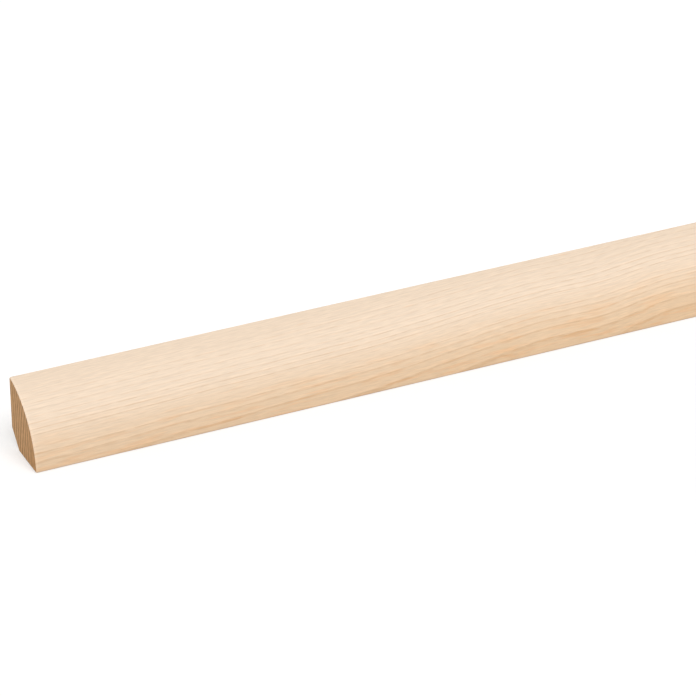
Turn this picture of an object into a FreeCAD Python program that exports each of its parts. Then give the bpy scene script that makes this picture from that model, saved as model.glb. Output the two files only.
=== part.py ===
"""Quarter round moulding: one length of planed softwood, lying on the leg that meets the floor.

X runs along the stock, Y from the room towards the wall, Z up. The origin is the middle of the
underside, at mid length and midway between the front edge and the wall face. All sizes in mm.
"""
import FreeCAD, Part
import os

# Length between the two sawn ends
stock_length = 1000.0

# Radius of the moulded round, which leaves the floor upright at the front edge
round_radius = 21.0

# How far the wall face is planed in front of the round's centre line; zero gives two equal legs
wall_setback = 3.0

# Leg of the 45 degree chamfer that relieves the heel, where wall and floor meet
heel_chamfer = 5.0

# Radius to which the planer leaves the four long arrises eased
arris_ease = 0.4

# Leg on the floor and leg on the wall, both following from the round
floor_leg = round_radius - wall_setback
wall_leg = (round_radius ** 2 - wall_setback ** 2) ** 0.5

# Positions of the section's faces
start_x = -stock_length / 2
front_y = -floor_leg / 2
wall_y = floor_leg / 2
centre_y = front_y + round_radius


def section_point(y, z):
    """Point of the section, in the plane of the first sawn end."""
    return FreeCAD.Vector(start_x, y, z)


def point_on_round(share):
    """Point of the round at a share of its height on the wall face."""
    z = wall_leg * share
    y = centre_y - (round_radius ** 2 - z ** 2) ** 0.5
    return section_point(y, z)


def moulding_section():
    """Closed section: round, wall face, heel chamfer and floor face."""
    front_foot = point_on_round(0)
    round_middle = point_on_round(0.5)
    wall_top = point_on_round(1)
    heel_on_wall = section_point(wall_y, heel_chamfer)
    heel_on_floor = section_point(wall_y - heel_chamfer, 0)
    edges = [
        Part.Arc(front_foot, round_middle, wall_top).toShape(),
        Part.LineSegment(wall_top, heel_on_wall).toShape(),
        Part.LineSegment(heel_on_wall, heel_on_floor).toShape(),
        Part.LineSegment(heel_on_floor, front_foot).toShape(),
    ]
    return Part.Face(Part.Wire(edges))


def runs_along_stock(edge):
    """True for an arris that runs from one sawn end to the other."""
    first, last = edge.Vertexes[0].Point, edge.Vertexes[-1].Point
    return abs(last.x - first.x) > stock_length / 2


def moulding():
    """The section run out to the stock's length, with its long arrises eased."""
    bar = moulding_section().extrude(FreeCAD.Vector(stock_length, 0, 0))
    long_arrises = [edge for edge in bar.Edges if runs_along_stock(edge)]
    return bar.makeFillet(arris_ease, long_arrises)


os.makedirs("parts", exist_ok=True)
moulding().exportStep("parts/moulding.step")
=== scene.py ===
"""Looks of a quarter round moulding: one length of planed softwood, built on its CAD frame.

Metres throughout. X runs along the stock, Y from the room towards the wall, Z up.
"""
import math
import bpy
import numpy as np
from bpy.props import FloatProperty, FloatVectorProperty, IntProperty, PointerProperty
from mathutils import Matrix, Vector


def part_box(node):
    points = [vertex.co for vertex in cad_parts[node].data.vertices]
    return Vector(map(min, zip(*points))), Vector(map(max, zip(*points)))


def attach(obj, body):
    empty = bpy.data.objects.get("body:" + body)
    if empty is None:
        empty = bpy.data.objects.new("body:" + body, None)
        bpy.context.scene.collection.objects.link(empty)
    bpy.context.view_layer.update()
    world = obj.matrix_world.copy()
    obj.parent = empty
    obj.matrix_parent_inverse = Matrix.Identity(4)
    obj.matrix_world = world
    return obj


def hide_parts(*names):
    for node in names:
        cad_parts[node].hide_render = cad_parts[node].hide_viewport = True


bl_info = {
    "name": "Quarter Round Moulding",
    "version": (1, 0, 0),
    "blender": (4, 5, 0),
    "location": "3D View > Sidebar > Moulding",
    "description": "Builds a length of softwood quarter round moulding and its studio stage",
    "category": "Object",
}

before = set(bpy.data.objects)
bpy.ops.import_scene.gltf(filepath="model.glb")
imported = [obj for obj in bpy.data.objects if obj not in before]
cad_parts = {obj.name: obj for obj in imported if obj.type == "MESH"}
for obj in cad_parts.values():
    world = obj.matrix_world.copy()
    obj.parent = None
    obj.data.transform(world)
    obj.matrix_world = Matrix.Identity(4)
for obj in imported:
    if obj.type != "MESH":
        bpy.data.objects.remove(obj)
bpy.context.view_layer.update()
NODE = "moulding"
BODY = "root"
PIECE = "softwood_moulding"
PLANED_WOOD = "planed_softwood"
SAWN_WOOD = "sawn_softwood"
MM = 0.001
STOCK_LOW, STOCK_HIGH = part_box(NODE)


class MouldingSizes(bpy.types.PropertyGroup):
    """Sizes of the stock and how finely its skin is cut up"""

    length: FloatProperty(
        name="Length", description="Length between the two sawn ends",
        default=STOCK_HIGH[0] - STOCK_LOW[0], min=0.01, unit="LENGTH")
    round_radius: FloatProperty(
        name="Round Radius", description="Radius of the moulded round",
        default=21 * MM, min=MM, unit="LENGTH")
    wall_setback: FloatProperty(
        name="Wall Setback",
        description="How far the wall face stands in front of the round's centre line",
        default=3 * MM, min=0, unit="LENGTH")
    heel_chamfer: FloatProperty(
        name="Heel Chamfer", description="Leg of the chamfer that relieves the heel",
        default=5 * MM, min=0.1 * MM, unit="LENGTH")
    arris_ease: FloatProperty(
        name="Arris Ease", description="Radius to which the long arrises are eased",
        default=0.4 * MM, min=0.01 * MM, unit="LENGTH")
    saw_rim: FloatProperty(
        name="Saw Rim", description="Width of the broken edge round a sawn end",
        default=0.2 * MM, min=0.01 * MM, unit="LENGTH")
    round_steps: IntProperty(
        name="Round Steps", description="Points across the moulded round", default=56, min=8)
    ease_steps: IntProperty(
        name="Ease Steps", description="Points on each eased arris", default=6, min=1)
    length_steps: IntProperty(
        name="Length Steps", description="Stretches along the stock, a multiple of four",
        default=80, min=4)


class SoftwoodLook(bpy.types.PropertyGroup):
    """Growth and colours of the wood"""

    ring_width: FloatProperty(
        name="Ring Width",
        description="Width of a ring of even growth; inner years are narrower, outer ones wider",
        default=1.53 * MM, min=0.1 * MM, unit="LENGTH")
    pith: FloatVectorProperty(
        name="Pith", description="Middle of the tree beside the section, in Y and Z",
        size=2, default=(-145.2 * MM, -25.7 * MM), unit="LENGTH")
    run_out: FloatProperty(
        name="Run-out", description="Slope of the rings to the stock's length",
        default=0.008)
    cream: FloatVectorProperty(
        name="Cream", description="Planed wood far from the pith",
        subtype="COLOR", size=3, default=(0.89, 0.715, 0.550), min=0, max=1)
    tan: FloatVectorProperty(
        name="Tan", description="Planed wood near the pith",
        subtype="COLOR", size=3, default=(0.88, 0.62, 0.385), min=0, max=1)
    latewood: FloatVectorProperty(
        name="Latewood", description="What the dense summer growth leaves of the planed colour",
        subtype="COLOR", size=3, default=(0.924, 0.866, 0.798), min=0, max=1)
    amber: FloatVectorProperty(
        name="Amber", description="What resin leaves of the planed colour",
        subtype="COLOR", size=3, default=(1.0, 0.90, 0.80), min=0, max=1)
    sawn_cream: FloatVectorProperty(
        name="Sawn Cream", description="End grain far from the pith",
        subtype="COLOR", size=3, default=(0.785, 0.463, 0.225), min=0, max=1)
    sawn_tan: FloatVectorProperty(
        name="Sawn Tan", description="End grain near the pith",
        subtype="COLOR", size=3, default=(0.725, 0.375, 0.146), min=0, max=1)
    sawn_latewood: FloatVectorProperty(
        name="Sawn Latewood", description="What the dense summer growth leaves of the sawn colour",
        subtype="COLOR", size=3, default=(0.46, 0.36, 0.26), min=0, max=1)


class StudioLook(bpy.types.PropertyGroup):
    """Floor, light and camera"""

    floor: FloatVectorProperty(
        name="Floor", description="Colour of the floor",
        subtype="COLOR", size=3, default=(0.62, 0.62, 0.62), min=0, max=1)
    sky: FloatProperty(
        name="Sky", description="Strength of the even light from all round", default=0.46, min=0)
    lamp: FloatProperty(
        name="Lamp", description="Strength of the main lamp", default=1.70, min=0)
    lamp_turn: FloatProperty(
        name="Lamp Turn", description="Turn of the main lamp from straight in front",
        default=math.radians(8), subtype="ANGLE")
    lamp_height: FloatProperty(
        name="Lamp Height", description="Height of the main lamp over the floor",
        default=math.radians(57), subtype="ANGLE")
    fill: FloatProperty(
        name="Fill", description="Strength of the low lamp behind", default=1.20, min=0)
    fill_height: FloatProperty(
        name="Fill Height", description="Height of the low lamp over the floor",
        default=math.radians(10), subtype="ANGLE")
    aim: FloatVectorProperty(
        name="Aim", description="Point that the camera looks at", subtype="TRANSLATION",
        size=3, default=(-402.19 * MM, 1.91 * MM, 9.75 * MM), unit="LENGTH")
    distance: FloatProperty(
        name="Distance", description="From the aim to the camera",
        default=998.5 * MM, unit="LENGTH")
    azimuth: FloatProperty(
        name="Azimuth", description="Turn of the camera from straight in front",
        default=math.radians(-25.197), subtype="ANGLE")
    elevation: FloatProperty(
        name="Elevation", description="Height of the camera over the floor",
        default=math.radians(29.053), subtype="ANGLE")
    roll: FloatProperty(
        name="Roll", description="Tilt of the camera about its line of sight",
        default=math.radians(-0.141), subtype="ANGLE")
    lens: FloatProperty(
        name="Lens", description="Focal length in millimetres", default=184.36, min=1)


# Noise lies about this middle, and each finer layer of it has this share of the layer before
NOISE_MIDDLE = 0.5
NOISE_ROUGHNESS = 0.55


class Wiring:
    """Adds nodes to a tree and wires them, so that a graph reads as a list of steps."""

    def __init__(self, tree):
        self.tree = tree

    def feed(self, socket, value):
        """Link a socket to another, or give it a fixed value."""
        if isinstance(value, bpy.types.NodeSocket):
            self.tree.links.new(value, socket)
        else:
            socket.default_value = value

    def add(self, kind, feeds=None, **settings):
        node = self.tree.nodes.new(kind)
        for name, value in settings.items():
            setattr(node, name, value)
        for key, value in (feeds or {}).items():
            self.feed(node.inputs[key], value)
        return node

    def math(self, operation, *values):
        node = self.add("ShaderNodeMath", operation=operation)
        for socket, value in zip(node.inputs, values):
            self.feed(socket, value)
        return node.outputs[0]

    def total(self, *values):
        result = values[0]
        for value in values[1:]:
            result = self.math("ADD", result, value)
        return result

    def product(self, *values):
        result = values[0]
        for value in values[1:]:
            result = self.math("MULTIPLY", result, value)
        return result

    def minus(self, first, second):
        return self.math("SUBTRACT", first, second)

    def over(self, first, second):
        return self.math("DIVIDE", first, second)

    def distance(self, across, above):
        """How far off a point lies that is so far across and so far above."""
        return self.math("SQRT", self.total(self.product(across, across), self.product(above, above)))

    def point(self, x=0.0, y=0.0, z=0.0):
        return self.add("ShaderNodeCombineXYZ", {"X": x, "Y": y, "Z": z}).outputs[0]

    def split(self, vector):
        return self.add("ShaderNodeSeparateXYZ", {"Vector": vector}).outputs

    def place(self):
        """Where on the piece a point lies, in object coordinates."""
        return self.add("ShaderNodeTexCoord").outputs["Object"]

    def facing(self, normal, side, share):
        """1 where a normal has more than a share of a side's direction in it."""
        along = self.add("ShaderNodeVectorMath", {0: normal, 1: side}, operation="DOT_PRODUCT")
        return self.math("GREATER_THAN", along.outputs["Value"], share)

    def step(self, value, start, end, low=0.0, high=1.0):
        """Smooth step from low to high while value goes from start to end."""
        return self.add("ShaderNodeMapRange", {
            "Value": value, "From Min": start, "From Max": end, "To Min": low, "To Max": high,
        }, interpolation_type="SMOOTHSTEP").outputs["Result"]

    def mix(self, factor, first, second, blend="MIX"):
        """Colour between two, or the first multiplied by the second."""
        node = self.add("ShaderNodeMix", data_type="RGBA", blend_type=blend)
        first_colour, second_colour = [s for s in node.inputs if s.type == "RGBA"]
        self.feed(node.inputs["Factor"], factor)
        self.feed(first_colour, first)
        self.feed(second_colour, second)
        return next(s for s in node.outputs if s.type == "RGBA")

    def scaled(self, place, reach, start=(0.0, 0.0, 0.0)):
        """The place counted in lengths of reach in X, Y and Z."""
        scale = tuple(1 / length for length in reach)
        mapped = self.add("ShaderNodeMapping", {"Vector": place, "Location": start, "Scale": scale})
        return mapped.outputs[0]

    def noise(self, place, reach, detail=1.0, start=(0.0, 0.0, 0.0)):
        """Noise about 0 whose features are about as long as reach in X, Y and Z."""
        texture = self.add("ShaderNodeTexNoise", {
            "Vector": self.scaled(place, reach, start), "Scale": 1.0,
            "Detail": detail, "Roughness": NOISE_ROUGHNESS})
        return self.minus(texture.outputs["Fac"], NOISE_MIDDLE)


def opaque(colour):
    return (*colour, 1.0)


def new_object(name, data):
    """Object in the scene for a mesh, a lamp or a camera."""
    thing = bpy.data.objects.new(name, data)
    bpy.context.scene.collection.objects.link(thing)
    return thing


# Shape of the moulding

# A face is a sawn end, or a flat long face, when its normal has this much of their direction in it
SAWN_SHARE = 0.9
FLAT_SHARE = 0.999
TO_WALL = (0.0, 1.0, 0.0)
TO_FLOOR = (0.0, 0.0, -1.0)
TO_HEEL = (0.0, math.sqrt(0.5), -math.sqrt(0.5))
# Points that lie nearer than this are one
JOIN_GAP = 0.001 * MM
# The mark that the outline's arrises carry, and the least of it that counts
ARRIS_MARK = "arris"
ARRIS_LEAST = 0.25
# Inputs of the sweep that take a size, under the size's own name
SIZE_INPUTS = {
    "Length": "NodeSocketFloat",
    "Round Radius": "NodeSocketFloat",
    "Wall Setback": "NodeSocketFloat",
    "Heel Chamfer": "NodeSocketFloat",
    "Arris Ease": "NodeSocketFloat",
    "Saw Rim": "NodeSocketFloat",
    "Round Steps": "NodeSocketInt",
    "Ease Steps": "NodeSocketInt",
    "Length Steps": "NodeSocketInt",
}


def section_outline(wire, given):
    """Round, wall face, heel chamfer and floor face as one closed curve, Y and Z drawn as X and Y."""
    radius, setback, heel = given["Round Radius"], given["Wall Setback"], given["Heel Chamfer"]
    floor_leg = wire.minus(radius, setback)
    wall_y = wire.product(floor_leg, 0.5)
    front_y = wire.product(floor_leg, -0.5)
    top_turn = wire.math("ARCCOSINE", wire.over(wire.product(setback, -1.0), radius))
    wall_leg = wire.product(radius, wire.math("SINE", top_turn))
    arc = wire.add("GeometryNodeCurveArc", {
        "Resolution": given["Round Steps"], "Radius": radius,
        "Start Angle": top_turn, "Sweep Angle": wire.minus(math.pi, top_turn)})
    rounded = wire.add("GeometryNodeTransform", {
        "Geometry": arc.outputs["Curve"], "Translation": wire.point(wire.total(wall_y, setback))})
    corners = (
        wire.point(wall_y, wall_leg),
        wire.point(wall_y, heel),
        wire.point(wire.minus(wall_y, heel)),
        wire.point(front_y),
    )
    runs = [rounded.outputs[0]]
    for start, end in zip(corners, corners[1:]):
        runs.append(wire.add("GeometryNodeCurvePrimitiveLine", {"Start": start, "End": end}).outputs[0])
    joined = wire.add("GeometryNodeJoinGeometry")
    for run in runs:
        wire.feed(joined.inputs[0], run)
    return joined.outputs[0]


def eased_section(wire, given):
    """The outline with its four arrises eased; they are where its runs meet."""
    arris = wire.add("GeometryNodeStoreNamedAttribute", {
        "Geometry": section_outline(wire, given), "Name": ARRIS_MARK,
        "Value": wire.add("GeometryNodeCurveEndpointSelection").outputs[0],
    }, data_type="FLOAT", domain="POINT")
    edges = wire.add("GeometryNodeCurveToMesh", {"Curve": arris.outputs[0]})
    closed = wire.add("GeometryNodeMergeByDistance", {
        "Geometry": edges.outputs[0], "Distance": JOIN_GAP})
    loop = wire.add("GeometryNodeMeshToCurve", {"Mesh": closed.outputs[0]})
    stored = wire.add("GeometryNodeInputNamedAttribute", {"Name": ARRIS_MARK}, data_type="FLOAT")
    at_arris = wire.math("GREATER_THAN", stored.outputs["Attribute"], ARRIS_LEAST)
    eased = wire.add("GeometryNodeFilletCurve", {
        "Curve": loop.outputs[0], "Limit Radius": True,
        "Count": wire.product(at_arris, given["Ease Steps"]),
        "Radius": wire.product(at_arris, given["Arris Ease"]),
    }, mode="POLY")
    unmarked = wire.add("GeometryNodeRemoveAttribute", {
        "Geometry": eased.outputs[0], "Name": ARRIS_MARK})
    return unmarked.outputs[0]


def sweep(wire, given):
    """The section run along X between the two sawn ends, each with a broken edge round it."""
    rim = given["Saw Rim"]
    reach = wire.minus(wire.product(given["Length"], 0.5), rim)
    line = wire.add("GeometryNodeCurvePrimitiveLine", {
        "Start": wire.point(wire.product(reach, -1.0)), "End": wire.point(reach)})
    path = wire.add("GeometryNodeResampleCurve", {
        "Curve": line.outputs[0], "Count": wire.total(given["Length Steps"], 1.0)})
    outward = wire.add("GeometryNodeReverseCurve", {"Curve": eased_section(wire, given)})
    upright = wire.add("GeometryNodeTransform", {
        "Geometry": outward.outputs[0], "Rotation": (0.0, 0.0, math.pi)})
    bar = wire.add("GeometryNodeCurveToMesh", {
        "Curve": path.outputs[0], "Profile Curve": upright.outputs[0], "Fill Caps": True})
    normal = wire.add("GeometryNodeInputNormal").outputs["Normal"]
    sawn = wire.math("GREATER_THAN", wire.math("ABSOLUTE", wire.split(normal)["X"]), SAWN_SHARE)
    flats = [wire.facing(normal, side, FLAT_SHARE) for side in (TO_WALL, TO_FLOOR, TO_HEEL)]
    smooth = wire.add("GeometryNodeSetShadeSmooth", {
        "Geometry": bar.outputs[0], "Shade Smooth": wire.minus(1.0, wire.total(sawn, *flats))})
    ends = wire.add("GeometryNodeExtrudeMesh", {
        "Mesh": smooth.outputs[0], "Selection": sawn, "Offset Scale": rim, "Individual": False})
    half_section = wire.product(given["Round Radius"], 0.5)
    broken = wire.add("GeometryNodeScaleElements", {
        "Geometry": ends.outputs["Mesh"], "Selection": ends.outputs["Top"],
        "Scale": wire.minus(1.0, wire.over(rim, half_section))})
    real = wire.add("GeometryNodeRealizeInstances", {"Geometry": broken.outputs[0]})
    planed = wire.add("GeometryNodeSetMaterial", {
        "Geometry": real.outputs[0], "Material": given["Planed Wood"]})
    return wire.add("GeometryNodeSetMaterial", {
        "Geometry": planed.outputs[0], "Selection": sawn, "Material": given["Sawn Wood"]}).outputs[0]


def sweep_values(tree, sizes, planed, sawn):
    """Give the sweep's tree its named inputs, and list the value of each by its identifier."""
    inputs = [(name, kind, getattr(sizes, name.lower().replace(" ", "_")))
              for name, kind in SIZE_INPUTS.items()]
    inputs.append(("Planed Wood", "NodeSocketMaterial", planed))
    inputs.append(("Sawn Wood", "NodeSocketMaterial", sawn))
    values = {}
    for name, kind, value in inputs:
        socket = tree.interface.new_socket(name=name, in_out="INPUT", socket_type=kind)
        values[socket.identifier] = value
    return values


def swept_mesh(sizes, planed, sawn):
    """Plain mesh of the moulding, made by the sweep's node tree."""
    tree = bpy.data.node_groups.new("moulding_sweep", "GeometryNodeTree")
    values = sweep_values(tree, sizes, planed, sawn)
    tree.interface.new_socket(name="Moulding", in_out="OUTPUT", socket_type="NodeSocketGeometry")
    wire = Wiring(tree)
    given = wire.add("NodeGroupInput").outputs
    wire.add("NodeGroupOutput", {"Moulding": sweep(wire, given)})
    holder = new_object("sweep", bpy.data.meshes.new("sweep"))
    modifier = holder.modifiers.new("sweep", "NODES")
    modifier.node_group = tree
    for identifier, value in values.items():
        modifier[identifier] = value
    depsgraph = bpy.context.evaluated_depsgraph_get()
    mesh = bpy.data.meshes.new_from_object(holder.evaluated_get(depsgraph), depsgraph=depsgraph)
    bpy.data.objects.remove(holder)
    if not mesh.polygons:
        raise RuntimeError("the sweep made no faces")
    return mesh


# Flat map of the skin, for baking

BAKE_MAP = "OFBake"
# The planed skin is cut into this many strips, with this much room between them
STRIPS = 4
MAP_MARGIN = 2 * MM


def girth_reader(mesh):
    """Function that gives how far round the section a face's points lie, and the whole girth."""
    places = np.array([v.co for v in mesh.vertices])
    end_x = places[:, 0].min()
    ring_x = places[places[:, 0] > end_x + JOIN_GAP, 0].min()
    ring = places[np.abs(places[:, 0] - ring_x) < JOIN_GAP, 1:]
    middle = ring.mean(axis=0)
    turns = np.arctan2(ring[:, 1] - middle[1], ring[:, 0] - middle[0])
    order = np.argsort(turns)
    ring, turns = ring[order], turns[order]
    lengths = np.linalg.norm(np.diff(np.vstack([ring, ring[:1]]), axis=0), axis=1)
    girths = np.concatenate([[0.0], np.cumsum(lengths)])
    turns = np.append(turns, turns[0] + 2 * math.pi)

    def girth_at(points):
        """Girth of each point of one face, unbroken where the face crosses the seam."""
        angles = [math.atan2(p.z - middle[1], p.y - middle[0]) for p in points]
        if max(angles) - min(angles) > math.pi:
            angles = [a + 2 * math.pi if a < 0 else a for a in angles]
        return np.interp(angles, turns, girths)

    return girth_at, girths[-1]


def map_for_baking(mesh):
    """Lay the planed skin out as strips side by side, with the two sawn ends above them."""
    girth_at, girth = girth_reader(mesh)
    half = max(v.co.x for v in mesh.vertices)
    strip = 2 * half / STRIPS
    end_row = strip + 2 * MAP_MARGIN
    section = max(STOCK_HIGH[1] - STOCK_LOW[1], STOCK_HIGH[2])
    side = max(STRIPS * (girth + MAP_MARGIN), end_row + section) + MAP_MARGIN
    sawn_index = mesh.materials.find(SAWN_WOOD)
    flat = mesh.uv_layers.new(name=BAKE_MAP).data
    for face in mesh.polygons:
        points = [mesh.vertices[i].co for i in face.vertices]
        if face.material_index == sawn_index:
            offset = 0.0 if face.center.x < 0 else section + MAP_MARGIN
            spots = [(offset + p.y - STOCK_LOW[1], end_row + p.z) for p in points]
        else:
            number = min(int((face.center.x + half) / strip), STRIPS - 1)
            spots = [(number * (girth + MAP_MARGIN) + g, p.x + half - number * strip + MAP_MARGIN / 2)
                     for p, g in zip(points, girth_at(points))]
        for loop, (across, along) in zip(face.loop_indices, spots):
            flat[loop].uv = ((across + MAP_MARGIN / 2) / side, along / side)


# Growth of the wood

# Growth is counted in years of even width. This is how much there is at a mean distance from the
# pith, how much more for each metre further out, and how that changes per metre: outer years are wider
MEAN_RADIUS = 150 * MM
MEAN_GROWTH = 84.02 * MM
GROWTH_PACE = 1.094
GROWTH_SLOWING = -10.6
# Where the rings swing outwards: from and to, measured from the near end, and how far
RING_SWELLS = (
    (-60 * MM, 240 * MM, 3.3 * MM),
    (96 * MM, 162 * MM, 2.1 * MM),
    (152 * MM, 176 * MM, -0.55 * MM),
    (170 * MM, 200 * MM, 1.65 * MM),
    (300 * MM, 850 * MM, -9 * MM),
)
# Slow waves of the rings, which rise between these distances from the near end
WAVES = {"reach": (150 * MM, 60 * MM, 60 * MM)}
WAVE_START = 205 * MM
WAVE_FULL = 320 * MM
WAVE_HEIGHT = 6 * MM
# Small wander of the rings, everywhere
WANDER = {"reach": (22 * MM, 9 * MM, 9 * MM), "detail": 3.0, "start": (3.1, 0.7, 0.4)}
WANDER_HEIGHT = 0.45 * MM
# Where the count of rings starts
RING_PHASE = -41.08
# Lean years, whose rings are narrow and pale, come back after some millimetres of growth
LEAN_YEARS = 74.1 * MM
LEAN_PERIOD = 17.4 * MM
LEAN_RINGS = 0.394
LEAN_FROM = 0.85
LEAN_FULL = 0.97
LEAN_SHARE = 0.25
# Summer growth rises slowly within a year and stops short at its end
SUMMER_START = 0.60
SUMMER_SPREAD = 0.18
SUMMER_FULL = 0.90
SUMMER_END = 0.96
# The spring growth that follows is the palest
SPRING_FULL = 0.12
SPRING_END = 0.45
# Both differ in strength from year to year
YEAR_LEAST = 0.80
YEAR_SPREAD = 0.45
# On planed faces they are fainter in the outer years: growth from and to, and the share left
FADES = ((78.5 * MM, 81 * MM, 0.50), (86 * MM, 88.5 * MM, 0.40))
# Along the grain the rings are broken up. This noise, like those of fibre and resin, has its reach
# along the stock, across the rings and round the pith
PATCHES = {"reach": (3.5 * MM, 0.5 * MM, 0.5 * MM), "detail": 2.0}
PATCH_LOW = 0.25
PATCH_HIGH = 1.65
PATCH_SPREAD = 0.16
# Fine streaks and short dashes of fibre
FIBRES = {"reach": (16 * MM, 0.35 * MM, 0.35 * MM), "detail": 3.0}
DASHES = {"reach": (4 * MM, 0.3 * MM, 0.3 * MM), "start": (0.2, 0.5, 0.9)}
# Resin lies in broad stains near the pith and in a few short flecks
STAINS = {"reach": (14 * MM, 1.5 * MM, 1.5 * MM), "detail": 2.0, "start": (0.0, 0.0, 1.27)}
STAIN_FROM = 0.0
STAIN_FULL = 0.16
FLECK_CELL = (40 * MM, 4 * MM, 4 * MM)
FLECK_SHARE = 0.07
# The colour drifts from tan to cream between these growths, and swings this share as far as the rings
TAN_UNTIL = 64 * MM
CREAM_FROM = 82 * MM
DRIFT_SHARE = 0.5


def ring_shift(wire, place, from_end, look):
    """How far the rings stand out from where they are at the near end."""
    swells = [wire.step(from_end, start, end, 0.0, height) for start, end, height in RING_SWELLS]
    waves = wire.product(
        wire.noise(place, **WAVES), wire.step(from_end, WAVE_START, WAVE_FULL, 0.0, WAVE_HEIGHT))
    return wire.total(wire.product(from_end, look.run_out), waves, *swells)


def yearly_growth(wire, growth, look):
    """Rings as a sawn end shows them, and the summer and spring growth as a planed face shows it."""
    lean_turn = wire.product(wire.minus(growth, LEAN_YEARS), 2 * math.pi / LEAN_PERIOD)
    count = wire.total(
        wire.over(growth, look.ring_width),
        wire.product(wire.math("SINE", lean_turn), LEAN_RINGS), RING_PHASE)
    season = wire.math("FRACT", count)
    year = wire.add("ShaderNodeTexWhiteNoise", {"W": wire.math("FLOOR", count)}, noise_dimensions="1D")
    luck = year.outputs["Value"]
    summer = wire.step(season, wire.total(wire.product(luck, SUMMER_SPREAD), SUMMER_START), SUMMER_FULL)
    winter = wire.step(season, SUMMER_END, 1.0, 1.0, 0.0)
    spring = wire.step(season, SPRING_FULL, SPRING_END, 1.0, 0.0)
    strength = wire.total(wire.product(luck, YEAR_SPREAD), YEAR_LEAST)
    lean = wire.step(wire.math("COSINE", lean_turn), LEAN_FROM, LEAN_FULL, 1.0, LEAN_SHARE)
    fades = [wire.step(growth, start, end, 1.0, share) for start, end, share in FADES]
    rings = wire.product(summer, winter, strength)
    return rings, wire.product(rings, lean, *fades), wire.product(spring, strength, lean, *fades)


def resin(wire, grain, drift):
    """Where resin colours the wood: stains near the pith, and flecks anywhere."""
    stains = wire.step(wire.noise(grain, **STAINS), STAIN_FROM, STAIN_FULL)
    cells = wire.scaled(grain, FLECK_CELL)
    spots = wire.add("ShaderNodeTexVoronoi", {"Vector": cells, "Scale": 1.0})
    flecks = wire.step(spots.outputs["Distance"], 0.0, FLECK_SHARE, 1.0, 0.0)
    return wire.math("MAXIMUM", flecks, wire.product(stains, wire.minus(1.0, drift)))


def growth_group(look, length):
    """Node group that gives the growth at each point: the seasons, fibre, dashes and drift of colour."""
    tree = bpy.data.node_groups.new("softwood_growth", "ShaderNodeTree")
    wire = Wiring(tree)
    place = wire.place()
    axis = wire.split(place)
    from_end = wire.total(axis["X"], length / 2)
    shift = ring_shift(wire, place, from_end, look)
    across = wire.minus(axis["Y"], look.pith[0])
    above = wire.minus(axis["Z"], look.pith[1])
    outwards = wire.minus(wire.distance(across, above), MEAN_RADIUS)
    pace = wire.total(wire.product(outwards, GROWTH_SLOWING), GROWTH_PACE)
    years = wire.total(wire.product(outwards, pace), MEAN_GROWTH)
    wander = wire.product(wire.noise(place, **WANDER), WANDER_HEIGHT)
    growth = wire.total(wire.minus(years, shift), wander)
    round_pith = wire.product(wire.math("ARCTAN2", above, across), MEAN_RADIUS)
    grain = wire.point(from_end, growth, round_pith)
    drift = wire.step(wire.minus(years, wire.product(shift, DRIFT_SHARE)), TAN_UNTIL, CREAM_FROM)
    rings, summer, spring = yearly_growth(wire, growth, look)
    patches = wire.step(
        wire.noise(grain, **PATCHES), -PATCH_SPREAD, PATCH_SPREAD, PATCH_LOW, PATCH_HIGH)
    results = {
        "Rings": rings,
        "Latewood": wire.product(summer, patches),
        "Earlywood": wire.product(spring, patches),
        "Fibre": wire.noise(grain, **FIBRES),
        "Dashes": wire.noise(grain, **DASHES),
        "Drift": drift,
        "Resin": resin(wire, grain, drift),
    }
    for name in results:
        tree.interface.new_socket(name=name, in_out="OUTPUT", socket_type="NodeSocketFloat")
    wire.add("NodeGroupOutput", results)
    return tree


# Planed faces and sawn ends

# What fibre, dashes and spring growth add to the planed tone
FIBRE_TONE = 0.12
DASH_TONE = 0.25
SPRING_TONE = 0.035
# Painted highlight: a pale line along the sawn edge of the planed faces, this wide and this much lighter
EDGE_WIDTH = 1.0 * MM
EDGE_HIGHLIGHT = 0.09
# The wall face is cut along the rings, so the faint outer years show there as broad bands
WALL_SKIN = 0.2 * MM
WALL_FIGURE = 6.5
# The long arrises are burnished and darkened: handling wear, and painted contact shade along the two
# that meet the floor
ARRIS_WIDTH = 0.8 * MM
ARRIS_DARK = 0.07
ARRIS_SHEEN = 0.12
# Planed summer growth is smoother than the rest and stands a little proud
PLANED_ROUGH = 0.62
LATEWOOD_SHEEN = 0.10
LATEWOOD_RISE = 0.5
PLANED_GLOSS = 0.35
PLANED_RELIEF = {"Strength": 0.4, "Distance": 0.05 * MM}
# Marks of the saw, and the torn pores that are drawn out upwards, as the rings run
SAW_MARKS = {"reach": (1.0, 6 * MM, 0.4 * MM), "detail": 2.0}
MARK_TONE = 0.14
PORES = {"reach": (1.0, 0.6 * MM, 2.2 * MM), "detail": 2.0, "start": (0.3, 0.6, 0.1)}
PORE_TONE = 0.75
SAWN_ROUGH = 0.85
SAWN_GLOSS = 0.2
SAWN_RELIEF = {"Strength": 0.5, "Distance": 0.1 * MM}


def new_material(name):
    """Empty material and the wiring of its tree."""
    material = bpy.data.materials.new(name)
    material.use_nodes = True
    material.node_tree.nodes.clear()
    return material, Wiring(material.node_tree)


def arris_wear_and_shade(wire, axis, sizes):
    """1 on the long arrises, 0 away from them."""
    wall_y = (sizes.round_radius - sizes.wall_setback) / 2
    wall_leg = math.sqrt(sizes.round_radius ** 2 - sizes.wall_setback ** 2)
    heel = sizes.heel_chamfer
    distances = []
    for y, z in ((-wall_y, 0.0), (wall_y, wall_leg), (wall_y, heel), (wall_y - heel, 0.0)):
        distances.append(wire.distance(wire.minus(axis["Y"], y), wire.minus(axis["Z"], z)))
    nearest = distances[0]
    for distance in distances[1:]:
        nearest = wire.math("MINIMUM", nearest, distance)
    return wire.step(nearest, 0.0, ARRIS_WIDTH, 1.0, 0.0)


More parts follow.
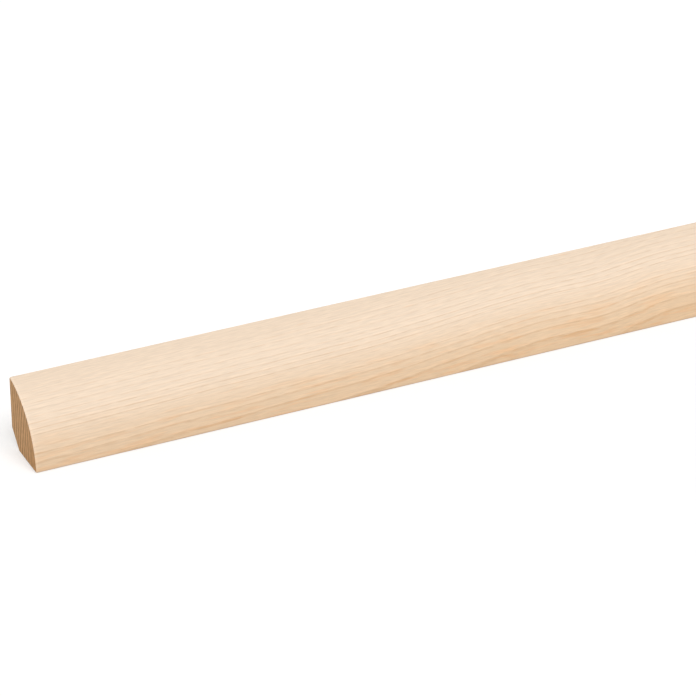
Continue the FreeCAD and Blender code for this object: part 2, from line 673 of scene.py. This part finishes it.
def wooden_surface(wire, colour, tone, rough, gloss, height, relief):
    """Surface of a wood whose colour has a tone, with its roughness, gloss and relief."""
    toned = wire.add("ShaderNodeHueSaturation", {"Color": colour, "Value": tone})
    bump = wire.add("ShaderNodeBump", {"Height": height, **relief})
    shader = wire.add("ShaderNodeBsdfPrincipled", {
        "Base Color": toned.outputs[0], "Roughness": rough, "Normal": bump.outputs[0],
        "Specular IOR Level": gloss})
    wire.add("ShaderNodeOutputMaterial", {"Surface": shader.outputs[0]})


def planed_softwood(look, growth, sizes):
    """Planed faces: soft growth lines, fibre streaks, worn arrises with painted contact shade, and a
    painted highlight along the sawn edge.
    """
    material, wire = new_material(PLANED_WOOD)
    wood = wire.add("ShaderNodeGroup", node_tree=growth).outputs
    axis = wire.split(wire.place())
    base = wire.mix(wood["Drift"], opaque(look.tan), opaque(look.cream))
    stained = wire.mix(wood["Resin"], base, opaque(look.amber), "MULTIPLY")
    figure = wire.step(axis["Y"], STOCK_HIGH[1] - WALL_SKIN, STOCK_HIGH[1], 1.0, WALL_FIGURE)
    latewood = wire.product(wood["Latewood"], figure)
    ringed = wire.mix(latewood, stained, opaque(look.latewood), "MULTIPLY")
    half = sizes.length / 2
    # Painted highlight: the planed faces lighten in a thin band at each sawn end
    edge = wire.step(wire.math("ABSOLUTE", axis["X"]), half - EDGE_WIDTH, half, 0.0, EDGE_HIGHLIGHT)
    # Darker arrises: handling wear, and painted contact shade along those that meet the floor
    wear_and_shade = arris_wear_and_shade(wire, axis, sizes)
    tone = wire.total(
        wire.product(wood["Fibre"], FIBRE_TONE), wire.product(wood["Dashes"], DASH_TONE),
        wire.product(wood["Earlywood"], SPRING_TONE), wire.product(wear_and_shade, -ARRIS_DARK), edge, 1.0)
    sheen = wire.total(wire.product(latewood, LATEWOOD_SHEEN), wire.product(wear_and_shade, ARRIS_SHEEN))
    rough = wire.minus(PLANED_ROUGH, sheen)
    height = wire.total(wire.product(latewood, LATEWOOD_RISE), wood["Fibre"])
    wooden_surface(wire, ringed, tone, rough, PLANED_GLOSS, height, PLANED_RELIEF)
    return material


def sawn_softwood(look, growth):
    """Sawn ends: darker end grain, its rings and the marks of the saw."""
    material, wire = new_material(SAWN_WOOD)
    wood = wire.add("ShaderNodeGroup", node_tree=growth).outputs
    place = wire.place()
    base = wire.mix(wood["Drift"], opaque(look.sawn_tan), opaque(look.sawn_cream))
    ringed = wire.mix(wood["Rings"], base, opaque(look.sawn_latewood), "MULTIPLY")
    marks = wire.noise(place, **SAW_MARKS)
    pores = wire.noise(place, **PORES)
    tone = wire.total(wire.product(marks, MARK_TONE), wire.product(pores, PORE_TONE), 1.0)
    height = wire.total(marks, pores)
    wooden_surface(wire, ringed, tone, SAWN_ROUGH, SAWN_GLOSS, height, SAWN_RELIEF)
    return material


class MOULDING_OT_build(bpy.types.Operator):
    """Sweep the section along the stock and give the moulding its wood"""

    bl_idname = "moulding.build"
    bl_label = "Build Moulding"

    def execute(self, context):
        sizes = context.scene.moulding_sizes
        look = context.scene.softwood_look
        growth = growth_group(look, sizes.length)
        mesh = swept_mesh(sizes, planed_softwood(look, growth, sizes), sawn_softwood(look, growth))
        mesh.name = PIECE
        map_for_baking(mesh)
        piece = new_object(PIECE, mesh)
        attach(piece, BODY)
        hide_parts(NODE)
        return {"FINISHED"}


# Stage

WHITE = (1.0, 1.0, 1.0)
# Half the floor's side, and how far it lies under the moulding
FLOOR_REACH = 20.0
FLOOR_DROP = 0.05 * MM
FLOOR_CORNERS = ((-1, -1), (1, -1), (1, 1), (-1, 1))
# Light that takes the lit floor up to white where it is seen
FLOOR_LIFT = 0.44
# How wide the lamps look from the moulding
LAMP_SPREAD = math.radians(40)
FILL_SPREAD = math.radians(20)
# The camera's sensor in millimetres, and how far it sees
SENSOR = 36.0
FAR_CLIP = 100.0


def towards(turn, height):
    """Direction from the moulding to something at a turn from straight in front and a height."""
    return Vector((
        math.sin(turn) * math.cos(height), -math.cos(turn) * math.cos(height), math.sin(height)))


def shown_rays(wire):
    """1 on rays that show the background itself, straight to the camera or by way of gloss or glass."""
    rays = wire.add("ShaderNodeLightPath").outputs
    straight = wire.math("MAXIMUM", rays["Is Camera Ray"], rays["Is Glossy Ray"])
    return wire.math("MAXIMUM", straight, rays["Is Transmission Ray"])


def lay_floor(look):
    """Pale floor under the moulding, lifted to white where it is seen, with its shadow kept."""
    material, wire = new_material("studio_floor")
    lit = wire.add("ShaderNodeBsdfDiffuse", {"Color": opaque(look.floor)})
    lift = wire.add("ShaderNodeEmission", {"Strength": wire.product(shown_rays(wire), FLOOR_LIFT)})
    both = wire.add("ShaderNodeAddShader", {0: lit.outputs[0], 1: lift.outputs[0]})
    wire.add("ShaderNodeOutputMaterial", {"Surface": both.outputs[0]})
    mesh = bpy.data.meshes.new("studio_floor")
    corners = [(x * FLOOR_REACH, y * FLOOR_REACH, -FLOOR_DROP) for x, y in FLOOR_CORNERS]
    mesh.from_pydata(corners, [], [range(len(corners))])
    mesh.materials.append(material)
    floor = new_object("studio_floor", mesh)


def hang_lamp(name, strength, spread, turn, height):
    """Soft lamp that shines on the moulding from a turn and a height."""
    lamp = bpy.data.lights.new(name, "SUN")
    lamp.energy = strength
    lamp.angle = spread
    holder = new_object(name, lamp)
    holder.rotation_euler = towards(turn, height).to_track_quat("Z", "Y").to_euler()


def hang_light(look):
    """Even sky, white where it is seen, one broad soft lamp in front and a low one behind."""
    world = bpy.data.worlds.new("studio_sky")
    world.use_nodes = True
    world.node_tree.nodes.clear()
    wire = Wiring(world.node_tree)
    strength = wire.step(shown_rays(wire), 0.0, 1.0, look.sky, 1.0)
    sky = wire.add("ShaderNodeBackground", {"Color": opaque(WHITE), "Strength": strength})
    wire.add("ShaderNodeOutputWorld", {"Surface": sky.outputs[0]})
    bpy.context.scene.world = world
    hang_lamp("studio_lamp", look.lamp, LAMP_SPREAD, look.lamp_turn, look.lamp_height)
    hang_lamp("studio_fill", look.fill, FILL_SPREAD, math.pi, look.fill_height)


def place_camera(look):
    """Camera at the photograph's angle."""
    camera = bpy.data.cameras.new("studio_camera")
    camera.lens = look.lens
    camera.sensor_width = SENSOR
    camera.clip_end = FAR_CLIP
    holder = new_object("studio_camera", camera)
    back = towards(look.azimuth, look.elevation)
    turn = back.to_track_quat("Z", "Y").to_matrix() @ Matrix.Rotation(look.roll, 3, "Z")
    holder.matrix_world = Matrix.Translation(Vector(look.aim) + back * look.distance) @ turn.to_4x4()
    bpy.context.scene.camera = holder


class MOULDING_OT_stage(bpy.types.Operator):
    """Lay the floor, hang the light and place the camera"""

    bl_idname = "moulding.stage"
    bl_label = "Build Stage"

    def execute(self, context):
        look = context.scene.studio_look
        lay_floor(look)
        hang_light(look)
        place_camera(look)
        context.scene.view_settings.view_transform = "Standard"
        return {"FINISHED"}


class MOULDING_PT_sidebar(bpy.types.Panel):
    """Sizes, wood and stage of the moulding"""

    bl_label = "Quarter Round Moulding"
    bl_space_type = "VIEW_3D"
    bl_region_type = "UI"
    bl_category = "Moulding"

    def draw(self, context):
        for name, group in SETTINGS.items():
            settings = getattr(context.scene, name)
            column = self.layout.column()
            for key in group.__annotations__:
                column.prop(settings, key)
        self.layout.operator(MOULDING_OT_build.bl_idname)
        self.layout.operator(MOULDING_OT_stage.bl_idname)


SETTINGS = {
    "moulding_sizes": MouldingSizes,
    "softwood_look": SoftwoodLook,
    "studio_look": StudioLook,
}
CLASSES = (*SETTINGS.values(), MOULDING_OT_build, MOULDING_OT_stage, MOULDING_PT_sidebar)


def register():
    for cls in CLASSES:
        bpy.utils.register_class(cls)
    for name, group in SETTINGS.items():
        setattr(bpy.types.Scene, name, PointerProperty(type=group))


def unregister():
    for name in SETTINGS:
        delattr(bpy.types.Scene, name)
    for cls in reversed(CLASSES):
        bpy.utils.unregister_class(cls)


def main():
    register()
    bpy.ops.moulding.build()
    bpy.ops.moulding.stage()


if __name__ == "__main__":
    main()
